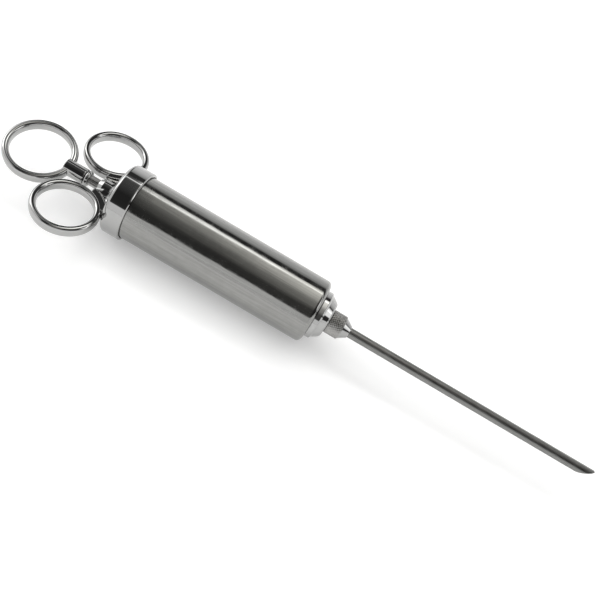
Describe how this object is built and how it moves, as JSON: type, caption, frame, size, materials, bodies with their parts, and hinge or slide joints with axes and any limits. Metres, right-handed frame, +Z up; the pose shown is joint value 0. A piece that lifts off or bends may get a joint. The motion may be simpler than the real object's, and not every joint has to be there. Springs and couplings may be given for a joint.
{
  "type": "meat injector",
  "caption": "Hand syringe for injecting marinade: metal barrel, screw-on cap with finger rings, plunger with thumb ring, and a long bevelled needle.",
  "frame": {"origin": "bottom centre of the bounding box of the injector lying on its side, plunger almost fully pressed in", "axes": "+X along the barrel towards the needle's point, +Y towards the left finger ring, +Z up"},
  "size_m": [0.3474, 0.0824, 0.0382],
  "materials": {
    "satin_steel": "satin, brushed along the barrel",
    "chrome": "mirror chrome plate",
    "rod_steel": "fine drawn",
    "needle_steel": "satin drawn",
    "aluminium": "turned",
    "brass": "machined",
    "silicone": "matte moulded",
    "black_rubber": "matte moulded"
  },
  "bodies": {
    "barrel": {"barrel_tube": "satin_steel", "nozzle": "chrome", "nozzle_gasket": "silicone", "nozzle_nut": "brass"},
    "cap_gasket": {"cap_gasket": "silicone"},
    "cap": {"cap": "chrome", "rod_guide": "chrome", "finger_ring_left": "chrome", "finger_ring_right": "chrome"},
    "rod_wiper": {"rod_wiper": "black_rubber"},
    "plunger": {"thumb_ring": "chrome", "handle_stem": "chrome", "stem_collar": "chrome", "plunger_rod": "rod_steel", "piston": "aluminium", "piston_seal_rear": "silicone", "piston_seal_front": "silicone", "piston_washer": "rod_steel", "piston_nut": "rod_steel"},
    "needle_washer": {"needle_washer": "black_rubber"},
    "needle": {"needle_hub": "needle_steel", "needle_tube": "needle_steel"}
  },
  "joints": [
    {"name": "cap_lift", "type": "slide", "parent": "barrel", "child": "cap_gasket", "axis": [-1, 0, 0], "range_m": [0, 0.00755]},
    {"name": "cap_turn", "type": "hinge", "parent": "cap_gasket", "child": "cap", "pos_m": [-0.10537, 0, 0.01911], "axis": [-1, 0, 0], "range_deg": [0, 1080]},
    {"name": "plunger_turn", "type": "hinge", "parent": "cap", "child": "rod_wiper", "pos_m": [-0.10537, 0, 0.01911], "axis": [-1, 0, 0], "continuous": true},
    {"name": "plunger_slide", "type": "slide", "parent": "rod_wiper", "child": "plunger", "axis": [-1, 0, 0], "range_m": [-0.0025, 0.087]},
    {"name": "needle_lift", "type": "slide", "parent": "barrel", "child": "needle_washer", "axis": [1, 0, 0], "range_m": [0, 0.00605]},
    {"name": "needle_turn", "type": "hinge", "parent": "needle_washer", "child": "needle", "pos_m": [0.01528, 0, 0.01911], "axis": [1, 0, 0], "range_deg": [0, 1080]}
  ],
  "couplings": [
    {"joint": "cap_lift", "follows": "cap_turn", "m_per_rad": 0.00039789},
    {"joint": "needle_lift", "follows": "needle_turn", "m_per_rad": 0.00031831}
  ]
}
